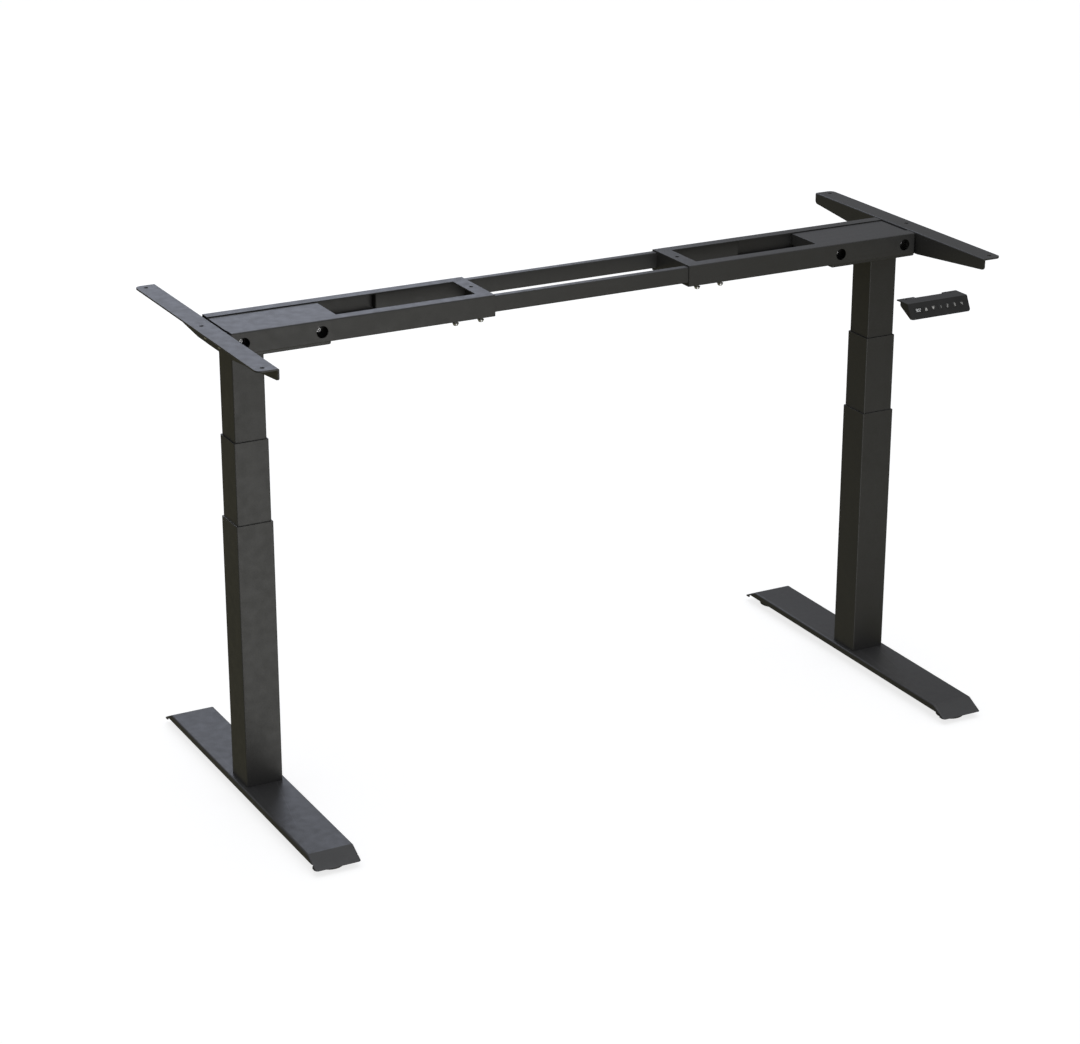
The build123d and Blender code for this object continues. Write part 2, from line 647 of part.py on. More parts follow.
def back_split():
    """Plane that parts the back cover from the shell, parallel to the lower back face."""
    low = Vector(0, LEG_Y - HAND_TOE + 6, TOP_Z - HAND_DROP - 1)
    high = Vector(0, LEG_Y - HAND_BACK, TOP_Z - 12)
    along = (high - low).normalized()
    outward = along.cross(Vector(1, 0, 0)).normalized()
    if outward.Z > 0:
        outward = outward * -1
    return Plane(origin=low - outward * 1.6, x_dir=(1, 0, 0), z_dir=outward)


def handset_shell():
    with BuildPart() as part:
        add(wedge(0))
        add(wedge(HAND_WALL), mode=Mode.SUBTRACT)
        split(bisect_by=back_split(), keep=Keep.BOTTOM)
        x0, x1 = HAND_X - HAND_W / 2, HAND_X + HAND_W / 2
        block(x0, x1, -HAND_LIP + 0.8, -HAND_EAR, TOP_Z - HAND_PLATE, TOP_Z)
        block(x0 + 36, x1 - 31, -HAND_NOTCH, -HAND_EAR + 1, TOP_Z - HAND_PLATE - 1, TOP_Z + 1, Mode.SUBTRACT)
        for e in (-1, 1):
            rod(HAND_X + e * HAND_HOLES / 2, -HAND_NOTCH, TOP_Z - 3, TOP_Z + 1, 4.5, Mode.SUBTRACT)
        for key_x in KEY_X:
            with BuildSketch(face_plane(key_x, KEY_FACE, -HAND_WALL - 0.1)):
                Circle(KEY_D / 2 + 0.15)
            extrude(amount=HAND_WALL + 1, mode=Mode.SUBTRACT)
        with BuildSketch(face_plane(LENS_X, KEY_FACE, -HAND_WALL - 0.1)):
            RectangleRounded(LENS[0] + 0.2, LENS[1] + 0.2, 1.1)
        extrude(amount=HAND_WALL + 1, mode=Mode.SUBTRACT)
    save(part.part, "handset_shell")


def handset_back_cover():
    with BuildPart() as part:
        add(wedge(0))
        split(bisect_by=back_split(), keep=Keep.TOP)
    save(part.part, "handset_back_cover")


def handset_board():
    with BuildPart() as part:
        with BuildSketch(face_plane(HAND_X, KEY_FACE, -BOARD_DEPTH - BOARD[2])):
            Rectangle(BOARD[0], BOARD[1])
        extrude(amount=BOARD[2])
        for key_x in KEY_X:
            with BuildSketch(face_plane(key_x, KEY_FACE, -BOARD_DEPTH - 0.1)):
                Circle(2.5)
            extrude(amount=1.3)
    save(part.part, "handset_board")


def display_lens():
    with BuildPart() as part:
        with BuildSketch(face_plane(LENS_X, KEY_FACE, -HAND_WALL)):
            RectangleRounded(LENS[0], LENS[1], 1)
        extrude(amount=HAND_WALL + 0.1)
    save(part.part, "display_lens")


def key(number):
    with BuildPart() as part:
        with BuildSketch(face_plane(KEY_X[number - 1], KEY_FACE, -HAND_WALL - 0.1)):
            Circle(KEY_D / 2)
        extrude(amount=HAND_WALL + 0.1 + KEY_PROUD)
        with BuildSketch(face_plane(KEY_X[number - 1], KEY_FACE, -HAND_WALL - 0.9)):
            Circle(KEY_FLANGE / 2)
        extrude(amount=0.8)
    save(part.part, f"key_{number}")


# ---- the whole desk -------------------------------------------------------------------------
PER_SIDE = [foot, foot_bolts, outer_column, middle_column, inner_column, spindle_tube, lower_nut, hollow_screw,
            upper_nut, lead_screw, gearbox, motor, motor_housing, cover, frame_bolts, side_bracket, cross_member,
            lock_screws]
ROWS = [("front", -1), ("back", 1)]

for side in SIDES.items():
    for make in PER_SIDE:
        make(side)
    for row in ROWS:
        glide(side, row)
        channel(side, row)
    sliders(side, "middle_sliders", MIDDLE_W, MIDDLE_TOP - MIDDLE_LEN + 4)
    sliders(side, "inner_sliders", INNER_W, INNER_BOTTOM + 4)
for row in ROWS:
    rail(row)
handset_shell()
handset_back_cover()
handset_board()
display_lens()
for number in range(1, len(KEY_X) + 1):
    key(number)
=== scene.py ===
import bmesh
import bpy
import json
import math
from mathutils import Matrix, Vector


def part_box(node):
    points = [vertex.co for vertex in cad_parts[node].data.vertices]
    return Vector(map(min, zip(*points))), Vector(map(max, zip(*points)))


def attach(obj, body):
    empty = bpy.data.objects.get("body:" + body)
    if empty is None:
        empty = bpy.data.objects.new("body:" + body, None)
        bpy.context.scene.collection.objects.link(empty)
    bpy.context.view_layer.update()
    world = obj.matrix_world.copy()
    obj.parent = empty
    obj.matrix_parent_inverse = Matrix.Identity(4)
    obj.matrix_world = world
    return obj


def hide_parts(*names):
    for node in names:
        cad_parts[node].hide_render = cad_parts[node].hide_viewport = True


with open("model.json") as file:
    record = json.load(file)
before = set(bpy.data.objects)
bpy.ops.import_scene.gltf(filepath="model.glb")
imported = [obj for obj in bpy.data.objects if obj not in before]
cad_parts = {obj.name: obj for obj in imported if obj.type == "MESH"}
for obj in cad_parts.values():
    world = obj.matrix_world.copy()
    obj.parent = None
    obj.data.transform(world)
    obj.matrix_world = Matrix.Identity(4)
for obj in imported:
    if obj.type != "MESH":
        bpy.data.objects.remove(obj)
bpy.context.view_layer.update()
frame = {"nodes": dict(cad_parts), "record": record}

SIDES = {"left": -1, "right": 1}
BODY_OF = {node: body for body, nodes in frame["record"]["behaviour"]["bodies"].items() for node in nodes}
SLOT_OF = {row["node"]: row["material_slot"] for row in frame["record"]["subparts"]}
MM = 0.001
TAU = 2 * math.pi


def middle(node):
    low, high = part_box(node)
    return (low + high) / 2


LEG_Y = middle("left_outer_column").y

# camera, on the user's left, measured from the plane of the legs
EYE = Vector((-2.3965, LEG_Y - 4.3429, 2.3000))
CAMERA_YAW = 28.133       # degrees from +Y towards +X
CAMERA_PITCH = 20.853     # degrees below the horizon
CAMERA_ROLL = 0.041
LENS = 93.5               # on the default 36 mm sensor
CLIP_END = 200.0


# ---- procedural materials -------------------------------------------------------------------
class Finish:
    """A Principled material with helpers that add texture nodes in object space."""

    def __init__(self, name, roughness, metallic=0.0, **inputs):
        self.material = bpy.data.materials.new(name)
        self.material.use_nodes = True
        self.tree = self.material.node_tree
        self.shader = self.tree.nodes["Principled BSDF"]
        self.shader.inputs["Metallic"].default_value = metallic
        self.shader.inputs["Roughness"].default_value = roughness
        for socket, value in inputs.items():
            self.shader.inputs[socket.replace("_", " ")].default_value = value
        self.coords = self.node("ShaderNodeTexCoord").outputs["Object"]
        self.height = None

    def node(self, kind, **settings):
        made = self.tree.nodes.new(kind)
        for key, value in settings.items():
            setattr(made, key, value)
        return made

    def link(self, source, target):
        self.tree.links.new(source, target)

    def stretched(self, scale):
        mapping = self.node("ShaderNodeMapping")
        mapping.inputs["Scale"].default_value = scale
        self.link(self.coords, mapping.inputs["Vector"])
        return mapping.outputs["Vector"]

    def noise(self, scale, detail=2.0, rough=0.5, stretch=None):
        made = self.node("ShaderNodeTexNoise")
        made.inputs["Scale"].default_value = scale
        made.inputs["Detail"].default_value = detail
        made.inputs["Roughness"].default_value = rough
        self.link(self.stretched(stretch) if stretch else self.coords, made.inputs["Vector"])
        return made.outputs["Fac"]

    def ramp(self, source, *stops):
        """Colour ramp through (position, colour or grey) stops."""
        made = self.node("ShaderNodeValToRGB")
        elements = made.color_ramp.elements
        while len(elements) < len(stops):
            elements.new(0.5)
        for element, (position, value) in zip(elements, stops):
            element.position = position
            element.color = (*value, 1.0) if isinstance(value, tuple) else (value, value, value, 1.0)
        self.link(source, made.inputs["Fac"])
        return made.outputs["Color"]

    def mix(self, factor, a, b, blend="MIX"):
        made = self.node("ShaderNodeMix", data_type="RGBA", blend_type=blend)
        for socket, value in ((made.inputs["Factor"], factor), (made.inputs[6], a), (made.inputs[7], b)):
            if hasattr(value, "links"):
                self.link(value, socket)
            elif isinstance(value, tuple):
                socket.default_value = (*value, 1.0)
            else:
                socket.default_value = value
        return made.outputs[2]

    def colour(self, source):
        self.link(source, self.shader.inputs["Base Color"])
        return self

    def rough(self, source):
        self.link(source, self.shader.inputs["Roughness"])
        return self

    def bump(self, source, distance, strength=1.0):
        """Adds one layer of relief; distance is its depth in metres."""
        made = self.node("ShaderNodeBump")
        made.inputs["Strength"].default_value = strength
        made.inputs["Distance"].default_value = distance
        self.link(source, made.inputs["Height"])
        if self.height is not None:
            self.link(self.height, made.inputs["Normal"])
        self.height = made.outputs["Normal"]
        self.link(self.height, self.shader.inputs["Normal"])
        return self

    def edges(self):
        """Convexity of the mesh, 0.5 on flat faces and above it on outside edges."""
        return self.node("ShaderNodeNewGeometry").outputs["Pointiness"]


def powder_coat():
    finish = Finish("powder_coat", 0.42, Specular_IOR_Level=0.5)
    cloud = finish.noise(5.0, 3.0)
    base = finish.ramp(cloud, (0.3, (0.0335, 0.0335, 0.0340)), (0.7, (0.0385, 0.0385, 0.0388)))
    grain = finish.ramp(finish.noise(1400.0, 2.0, 0.6), (0.38, 0.82), (0.62, 1.14))
    base = finish.mix(0.8, base, grain, "MULTIPLY")
    # painted highlight: outside edges (by pointiness) are lightened to stand in for light caught on the
    # rounded bends
    painted_edge_highlight = finish.ramp(finish.edges(), (0.52, 0.0), (0.62, 0.55))
    base = finish.mix(painted_edge_highlight, base, (0.075, 0.075, 0.078))
    finish.colour(base)
    finish.rough(finish.ramp(finish.noise(60.0, 4.0), (0.3, 0.38), (0.7, 0.47)))
    finish.bump(finish.noise(620.0, 3.0, 0.55), 0.00012, 0.5)
    finish.bump(finish.noise(2200.0, 1.0), 0.00003, 0.45)
    return finish.material


def bright_zinc():
    finish = Finish("bright_zinc", 0.24, 1.0)
    cloud = finish.noise(240.0, 3.0)
    finish.colour(finish.ramp(cloud, (0.3, (0.62, 0.63, 0.66)), (0.7, (0.80, 0.80, 0.82))))
    finish.rough(finish.ramp(finish.noise(500.0, 3.0), (0.3, 0.18), (0.7, 0.34)))
    finish.bump(finish.noise(1800.0, 2.0), 0.00002, 0.4)
    return finish.material


def spindle_steel():
    finish = Finish("spindle_steel", 0.3, 1.0)
    finish.colour(finish.ramp(finish.noise(160.0, 3.0, stretch=(1, 1, 0.1)), (0.3, (0.42, 0.42, 0.43)),
                              (0.7, (0.60, 0.60, 0.61))))
    finish.rough(finish.ramp(finish.noise(300.0, 3.0), (0.3, 0.24), (0.7, 0.4)))
    finish.bump(finish.noise(900.0, 2.0, stretch=(1, 1, 0.2)), 0.00003, 0.5)
    return finish.material


def plastic(name, dark, light, roughness, grain=900.0):
    finish = Finish(name, roughness)
    finish.colour(finish.ramp(finish.noise(30.0, 3.0), (0.3, dark), (0.7, light)))
    finish.rough(finish.ramp(finish.noise(90.0, 3.0), (0.3, roughness - 0.05), (0.7, roughness + 0.05)))
    finish.bump(finish.noise(grain, 3.0, 0.6), 0.00005, 0.4)
    return finish.material


def cast_alloy():
    finish = Finish("cast_alloy", 0.5, 1.0)
    finish.colour(finish.ramp(finish.noise(70.0, 4.0), (0.3, (0.46, 0.46, 0.48)), (0.7, (0.60, 0.60, 0.62))))
    finish.rough(finish.ramp(finish.noise(240.0, 3.0), (0.3, 0.42), (0.7, 0.6)))
    finish.bump(finish.noise(1100.0, 4.0, 0.7), 0.00008, 0.6)
    return finish.material


def motor_can():
    finish = Finish("motor_can", 0.36, 1.0)
    finish.colour(finish.ramp(finish.noise(90.0, 2.0, stretch=(0.1, 1, 1)), (0.3, (0.40, 0.40, 0.42)),
                              (0.7, (0.54, 0.54, 0.56))))
    finish.rough(finish.ramp(finish.noise(400.0, 3.0, stretch=(0.1, 1, 1)), (0.3, 0.3), (0.7, 0.44)))
    finish.bump(finish.noise(700.0, 2.0, stretch=(0.1, 1, 1)), 0.00002, 0.5)
    return finish.material


def circuit_board():
    finish = Finish("circuit_board", 0.35, Coat_Weight=0.4, Coat_Roughness=0.1)
    cells = finish.node("ShaderNodeTexVoronoi", feature="DISTANCE_TO_EDGE", distance="MANHATTAN")
    cells.inputs["Scale"].default_value = 260.0
    finish.link(finish.coords, cells.inputs["Vector"])
    tracks = finish.ramp(cells.outputs["Distance"], (0.04, (0.05, 0.19, 0.08)), (0.07, (0.015, 0.085, 0.03)))
    finish.colour(tracks)
    finish.rough(finish.ramp(finish.noise(200.0), (0.3, 0.3), (0.7, 0.42)))
    finish.bump(cells.outputs["Distance"], 0.00003, 0.3)
    return finish.material


def display_gloss():
    finish = Finish("display_gloss", 0.12, Coat_Weight=0.6, Coat_Roughness=0.04)
    finish.colour(finish.ramp(finish.noise(80.0), (0.3, (0.006, 0.006, 0.007)), (0.7, (0.010, 0.010, 0.011))))
    finish.rough(finish.ramp(finish.noise(300.0, 3.0), (0.3, 0.08), (0.7, 0.16)))
    finish.bump(finish.noise(60.0), 0.00002, 0.2)
    return finish.material


def printed_ink():
    finish = Finish("printed_ink", 0.5)
    finish.colour(finish.ramp(finish.noise(2500.0, 2.0), (0.3, (0.55, 0.55, 0.54)),
                              (0.7, (0.70, 0.70, 0.69))))
    finish.bump(finish.noise(4000.0), 0.00001, 0.3)
    return finish.material


def lit_segment():
    finish = Finish("lit_segment", 0.4, Emission_Color=(0.85, 0.88, 0.9, 1.0), Emission_Strength=0.25)
    finish.colour(finish.ramp(finish.noise(2500.0), (0.3, (0.60, 0.61, 0.62)), (0.7, (0.72, 0.73, 0.74))))
    return finish.material


FINISH = {
    "powder_coat": powder_coat(),
    "bright_zinc": bright_zinc(),
    "spindle_steel": spindle_steel(),
    "white_polymer": plastic("white_polymer", (0.72, 0.72, 0.68), (0.80, 0.80, 0.77), 0.4),
    "cast_alloy": cast_alloy(),
    "motor_can": motor_can(),
    "black_plastic": plastic("black_plastic", (0.016, 0.016, 0.017), (0.024, 0.024, 0.025), 0.48),
    "key_plastic": plastic("key_plastic", (0.022, 0.022, 0.023), (0.030, 0.030, 0.031), 0.42, 1500.0),
    "display_gloss": display_gloss(),
    "circuit_board": circuit_board(),
}
INK = printed_ink()
SEGMENT = lit_segment()


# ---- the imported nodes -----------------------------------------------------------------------
EDGE_RADIUS = {           # worn or folded edge radius of each kind of part, in metres
    "foot": 0.0005, "column": 0.0004, "housing": 0.0006, "cover": 0.0006, "bracket": 0.0007,
    "channel": 0.0006, "member": 0.0007, "rail": 0.0004, "gearbox": 0.0010, "motor": 0.0006,
    "shell": 0.0005, "key": 0.0004, "lens": 0.0002, "sliders": 0.0002, "tube": 0.0004,
    "nut": 0.0004, "screw": 0.0003, "board": 0.0001,
}
FINE_EDGE = 0.0003        # edge radius of every other part
WELD_GAP = 1e-5
FLAT_ANGLE = 0.4          # degrees between facets that count as one flat face
HARD_ANGLE = 24           # degrees from which an edge is rounded


def soften(node, radius):
    """Merges the facets, then rounds the hard edges and evens the shading."""
    obj = frame["nodes"][node]
    weld = obj.modifiers.new("weld", "WELD")
    weld.merge_threshold = WELD_GAP
    flats = obj.modifiers.new("flats", "DECIMATE")
    flats.decimate_type = "DISSOLVE"
    flats.angle_limit = math.radians(FLAT_ANGLE)
    bevel = obj.modifiers.new("edges", "BEVEL")
    bevel.width = radius
    bevel.segments = 2
    bevel.limit_method = "ANGLE"
    bevel.angle_limit = math.radians(HARD_ANGLE)
    bevel.miter_outer = "MITER_ARC"
    obj.modifiers.new("normals", "WEIGHTED_NORMAL").weight = 100


for node, obj in frame["nodes"].items():
    obj.data.materials.clear()
    obj.data.materials.append(FINISH[SLOT_OF[node]])
    matches = (r for word, r in EDGE_RADIUS.items() if node.endswith(word) or f"{word}_" in node)
    soften(node, next(matches, FINE_EDGE))


# ---- mesh building --------------------------------------------------------------------------
def piece(name, bm, body, slot, material=None, stands_for=(), smooth=True):
    """Makes an object from bm that rides on a body, with evened shading."""
    bmesh.ops.recalc_face_normals(bm, faces=bm.faces)
    mesh = bpy.data.meshes.new(name)
    bm.to_mesh(mesh)
    bm.free()
    mesh.materials.append(material or FINISH[slot])
    obj = bpy.data.objects.new(name, mesh)
    bpy.context.scene.collection.objects.link(obj)
    if smooth:
        mesh.polygons.foreach_set("use_smooth", [True] * len(mesh.polygons))
        obj.modifiers.new("normals", "WEIGHTED_NORMAL").weight = 100
    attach(obj, body)
    if stands_for:
        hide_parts(*stands_for)
    return obj


def skin(bm, loops, closed=False):
    """Joins loops of equal length with quads.

    closed joins the last loop back to the first; otherwise both are capped.
    """
    rows = [[bm.verts.new(point) for point in loop] for loop in loops]
    pairs = list(zip(rows, rows[1:]))
    if closed:
        pairs.append((rows[-1], rows[0]))
    for low, high in pairs:
        for k in range(len(low)):
            after = (k + 1) % len(low)
            bm.faces.new((low[k], low[after], high[after], high[k]))
    if not closed:
        bm.faces.new(rows[0][::-1])
        bm.faces.new(rows[-1])


def turned(bm, place, rings, count=40, closed=False):
    """Skins rings about the Z axis of place.

    Each ring is (radius, height), and its radius is a number or a function of the angle.
    """
    loops = []
    for radius, height in rings:
        loop = []
        for k in range(count):
            angle = TAU * k / count
            r = radius(angle) if callable(radius) else radius
            loop.append(place @ Vector((r * math.cos(angle), r * math.sin(angle), height)))
        loops.append(loop)
    skin(bm, loops, closed)


def hexagon(apothem):
    sixth = TAU / 6
    return lambda angle: apothem / math.cos(angle % sixth - sixth / 2)


def thread(major, pitch, start, end, steps=6):
    """Rings of a screw thread between two heights."""
    depth = 0.6 * pitch

    def at(height):
        return lambda angle: major - depth * abs(2 * ((height / pitch - angle / TAU) % 1) - 1)

    count = max(2, round((end - start) / pitch * steps))
    heights = [start + (end - start) * j / count for j in range(count + 1)]
    return [(at(height), height) for height in heights]


def dome(radius, low, high, inner, steps=5):
    """Rings of a rounded head from its widest ring up to a flat of the inner radius."""
    rings = []
    for j in range(steps + 1):
        angle = math.pi / 2 * j / steps
        rings.append((inner + (radius - inner) * math.cos(angle), low + (high - low) * math.sin(angle)))
    return rings


# radii, pitch and head height of the three kinds of bolt
HEAVY_BOLT = {"shank": 3.95 * MM, "pitch": 1.25 * MM, "head": 7.0 * MM, "head_height": 4.4 * MM,
              "socket": 2.5 * MM}
LIGHT_BOLT = {"shank": 2.95 * MM, "pitch": 1.0 * MM, "head": 5.5 * MM, "head_height": 3.4 * MM,
              "socket": 2.0 * MM}
LOCK_SCREW = {"shank": 3.0 * MM, "pitch": 1.0 * MM, "head": 5.0 * MM, "head_height": 4.0 * MM,
              "socket": 2.0 * MM, "flange": 6.0 * MM}
FLANGE_T = 1.0 * MM


def socket_bolt(bm, place, length, shank, pitch, head, head_height, socket, flange=None):
    """A threaded bolt with a button head and a hexagon socket, seated at the origin of place."""
    core = shank - 0.5 * pitch
    rings = [(shank - 0.7 * pitch, -length), *thread(shank, pitch, -length + 0.4 * pitch, -0.8 * MM),
             (core, -0.7 * MM), (core, 0)]
    base = 0.0
    if flange:
        base = FLANGE_T
        rings += [(flange - 0.2 * MM, 0), (flange, 0.2 * MM), (flange, 0.7 * MM),
                  (flange - 0.3 * MM, base), (head + 0.1 * MM, base)]
    rings += [(head - 0.15 * MM, base), (head, base + 0.25 * MM), (head, base + 0.3 * head_height)]
    rings += dome(head, base + 0.3 * head_height, base + head_height, socket * 1.3)
    rings += [(hexagon(socket * 1.04), base + head_height), (hexagon(socket), base + head_height - 0.2 * MM),
              (hexagon(socket), base + 0.35 * head_height), (socket * 0.3, base + 0.22 * head_height)]
    turned(bm, place, rings, count=36)


def facing(origin, direction):
    """Placement with its Z axis along direction."""
    turn = Vector(direction).to_track_quat("Z", "Y").to_matrix().to_4x4()
    return Matrix.Translation(origin) @ turn


def rounded_square(half, radius, z, steps=5, half_y=None):
    """Points of a rounded rectangle about the origin at height z."""
    half_y = half if half_y is None else half_y
    points = []
    for quarter in range(4):
        cx = (half - radius) * (1, -1, -1, 1)[quarter]
        cy = (half_y - radius) * (1, 1, -1, -1)[quarter]
        for j in range(steps + 1):
            angle = math.pi / 2 * (quarter + j / steps)
            points.append(Vector((cx + radius * math.cos(angle), cy + radius * math.sin(angle), z)))
    return points


# ---- fasteners ------------------------------------------------------------------------------
def lock_screws(side):
    """Four screws under the channel mouths that clamp the rails."""
    node = f"{side}_lock_screws"
    low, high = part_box(node)
    flange = LOCK_SCREW["flange"]
    seat_z = low.z + LOCK_SCREW["head_height"] + FLANGE_T
    count = 0
    for x in (low.x + flange, high.x - flange):
        for y in (low.y + flange, high.y - flange):
            count += 1
            bm = bmesh.new()
            place = facing(Vector((x, y, seat_z)), (0, 0, -1))
            socket_bolt(bm, place, high.z - seat_z, **LOCK_SCREW)
            piece(f"{side}_lock_screw_{count}", bm, BODY_OF[node], "bright_zinc", stands_for=[node])


OUTER_ACCESS_X = 683.0 * MM    # outer access hole, from the middle of the desk
ACCESS_DOWN = 21.0 * MM        # access holes below the top of the bracket
ACCESS_BOLT_LEN = 12 * MM
BRACKET_BOLT_LEN = 9 * MM
BRACKET_BOLT_Y = 32.0 * MM
BRACKET_BOLT_UP = (16.0 * MM, 34.0 * MM)    # above the underside of the motor housing


def frame_bolts(side):
    """Bolts seen through the access holes and the four that hold the side bracket."""
    node = f"{side}_frame_bolts"
    low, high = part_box(node)
    s = SIDES[side]
    head, height = HEAVY_BOLT["head"], HEAVY_BOLT["head_height"]
    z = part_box(f"{side}_side_bracket")[1].z - ACCESS_DOWN
    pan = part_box(f"{side}_motor_housing")[0].z
    seats = []
    for x in (high.x - head if s < 0 else low.x + head, s * OUTER_ACCESS_X):
        for e in (-1, 1):
            seat = Vector((x, (low.y if e < 0 else high.y) - e * height, z))
            seats.append((seat, (0, e, 0), ACCESS_BOLT_LEN, HEAVY_BOLT))
    outer = (low.x if s < 0 else high.x) - s * LIGHT_BOLT["head_height"]
    for y in (-BRACKET_BOLT_Y, BRACKET_BOLT_Y):
        for up in BRACKET_BOLT_UP:
            seats.append((Vector((outer, LEG_Y + y, pan + up)), (s, 0, 0), BRACKET_BOLT_LEN, LIGHT_BOLT))
    for count, (seat, direction, length, size) in enumerate(seats, 1):
        bm = bmesh.new()
        socket_bolt(bm, facing(seat, direction), length, **size)
        piece(f"{side}_frame_bolt_{count}", bm, BODY_OF[node], "bright_zinc", stands_for=[node])


def foot_bolts(side):
    """Four bolts from under the foot into the column's base plate."""
    node = f"{side}_foot_bolts"
    low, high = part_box(node)
    head = HEAVY_BOLT["head"]
    seat_z = low.z + HEAVY_BOLT["head_height"]
    count = 0
    for x in (low.x + head, high.x - head):
        for y in (low.y + head, high.y - head):
            count += 1
            bm = bmesh.new()
            socket_bolt(bm, facing(Vector((x, y, seat_z)), (0, 0, -1)), high.z - seat_z, **HEAVY_BOLT)
            piece(f"{side}_foot_bolt_{count}", bm, BODY_OF[node], "bright_zinc", stands_for=[node])


PAD_H = 7.0 * MM
FLUTES = 36
FLUTE_DEPTH = 0.35 * MM
NECK = 6.9 * MM                # apothem of the hexagon neck
STUD = 4.0 * MM                # radius of the levelling stud
STUD_PITCH = 1.25 * MM


def glide(side, end):
    """Levelling foot: a moulded pad with grip flutes, and a threaded stud with a hexagon neck."""
    node = f"{side}_glide_{end}"
    low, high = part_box(node)
    centre = (low + high) / 2
    place = Matrix.Translation((centre.x, centre.y, low.z))
    radius = (high.x - low.x) / 2
    top = high.z - low.z

    def fluted(angle):
        return radius - FLUTE_DEPTH * (0.5 - 0.5 * math.cos(FLUTES * angle)) ** 2

    rings = [(radius * 0.62, 1.2 * MM), (radius * 0.64, 0.0), (radius - 1.0 * MM, 0.0),
             (radius - 0.2 * MM, 0.6 * MM), (fluted, 1.4 * MM), (fluted, PAD_H - 3.0 * MM),
             (radius - 0.3 * MM, PAD_H - 2.3 * MM), (radius - 1.0 * MM, PAD_H - 1.4 * MM),
             (radius - 2.2 * MM, PAD_H - 0.6 * MM), (radius - 4 * MM, PAD_H - 0.1 * MM),
             (radius * 0.5, PAD_H), (9.5 * MM, PAD_H), (9.0 * MM, PAD_H - 0.4 * MM)]
    bm = bmesh.new()
    turned(bm, place, rings, count=144)
    piece(f"{node}_pad", bm, BODY_OF[node], "black_plastic", stands_for=[node])
    bm = bmesh.new()
    rings = [(hexagon(NECK - 0.3 * MM), PAD_H - 0.3 * MM), (hexagon(NECK), PAD_H),
             (hexagon(NECK), PAD_H + 2.2 * MM), (hexagon(NECK - 0.4 * MM), PAD_H + 2.5 * MM),
             (STUD - 0.4 * MM, PAD_H + 2.5 * MM)]
    rings += thread(STUD, STUD_PITCH, PAD_H + 2.9 * MM, top - 0.6 * MM)
    rings += [(STUD - 0.9 * MM, top)]
    turned(bm, place, rings, count=48)
    piece(f"{node}_stud", bm, BODY_OF[node], "bright_zinc", stands_for=[node])


# ---- plastic inserts ------------------------------------------------------------------------
COLUMN_WALL = 1.5 * MM
RING_DEPTH = 4.0 * MM
RING_CHAMFER = 0.2 * MM


def guide_ring(side, outer, inner):
    """Plastic ring in the mouth of a column, just below its rim, that guides the column inside it."""
    low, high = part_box(f"{side}_{outer}_column")
    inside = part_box(f"{side}_{inner}_column")
    centre = (low + high) / 2
    reach = (high.x - low.x) / 2 - COLUMN_WALL - 0.03 * MM
    bore = (inside[1].x - inside[0].x) / 2 + 0.12 * MM
    top = high.z - 0.5 * MM
    place = Vector((centre.x, centre.y, 0))
    shape = [(reach, top - RING_DEPTH), (reach, top - RING_CHAMFER), (reach - RING_CHAMFER, top),
             (bore + RING_CHAMFER, top), (bore, top - RING_CHAMFER), (bore, top - RING_DEPTH)]
    loops = [[place + p for p in rounded_square(half, 1.0 * MM, z)] for half, z in shape]
    bm = bmesh.new()
    skin(bm, loops, closed=True)
    piece(f"{side}_{outer}_guide_ring", bm, BODY_OF[f"{side}_{outer}_column"], "white_polymer")


RAIL_WALL = 2.3 * MM           # wall of the rail with the clearance of its plug
PLUG_R = 1.6 * MM


def rail_plug(row, s):
    """Push-in plug in the end of a rail."""
    low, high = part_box(f"{row}_rail")
    end = low.x if s < 0 else high.x
    half_y, half_z = (high.y - low.y) / 2, (high.z - low.z) / 2
    place = facing(Vector((end, (low.y + high.y) / 2, (low.z + high.z) / 2)), (s, 0, 0))
    first_axis = place.to_3x3() @ Vector((1, 0, 0))
    if abs(first_axis.z) > 0.5:
        half_y, half_z = half_z, half_y
    shape = [(RAIL_WALL + 0.4 * MM, -11.0 * MM), (RAIL_WALL, -9.5 * MM), (RAIL_WALL, 0.05 * MM),
             (0.5 * MM, 0.05 * MM), (0.25 * MM, 0.3 * MM), (0.25 * MM, 0.9 * MM), (0.8 * MM, 1.3 * MM)]
    loops = [[place @ p for p in rounded_square(half_y - inset, PLUG_R, z, half_y=half_z - inset)]
             for inset, z in shape]
    bm = bmesh.new()
    skin(bm, loops)
    piece(f"{row}_rail_plug_{'left' if s < 0 else 'right'}", bm, "rails", "black_plastic")


# ---- handset --------------------------------------------------------------------------------
SHELL_LOW, SHELL_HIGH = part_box("handset_shell")
LIP_DEPTH, DROP = 13.0 * MM, 26.5 * MM    # reach and drop of the sloped face
FACE_DOWN = Vector((0, -LIP_DEPTH, -DROP)).normalized()
FACE_OUT = Vector((0, -DROP, LIP_DEPTH)).normalized()
KEY_DOWN = 13.5 * MM
KEY_TOP = 0.5 * MM
LENS_TOP = 0.1 * MM
MARK_T = 0.03 * MM
READOUT = {"text": "902", "height": 4.6 * MM, "stroke": 0.75 * MM, "spacing": 3.6 * MM}
KEY_NUMERAL = {"height": 5.2 * MM, "stroke": 0.9 * MM, "spacing": 0}
ARROW = 5.4 * MM
# bars of a seven-segment numeral: a at the top, then clockwise b to f, and g in the middle
SEGMENTS = {"0": "abcdef", "1": "bc", "2": "abged", "3": "abgcd", "4": "fgbc", "9": "gfabcd"}


def on_face(x, down, out):
    """Placement on the sloped face: X to the right, Y up the face, Z outward."""
    edge = Vector((x, SHELL_LOW.y + LIP_DEPTH, SHELL_HIGH.z))
    origin = edge + FACE_DOWN * down + FACE_OUT * out
    turn = Matrix((Vector((1, 0, 0)), -FACE_DOWN, FACE_OUT)).transposed().to_4x4()
    return Matrix.Translation(origin) @ turn


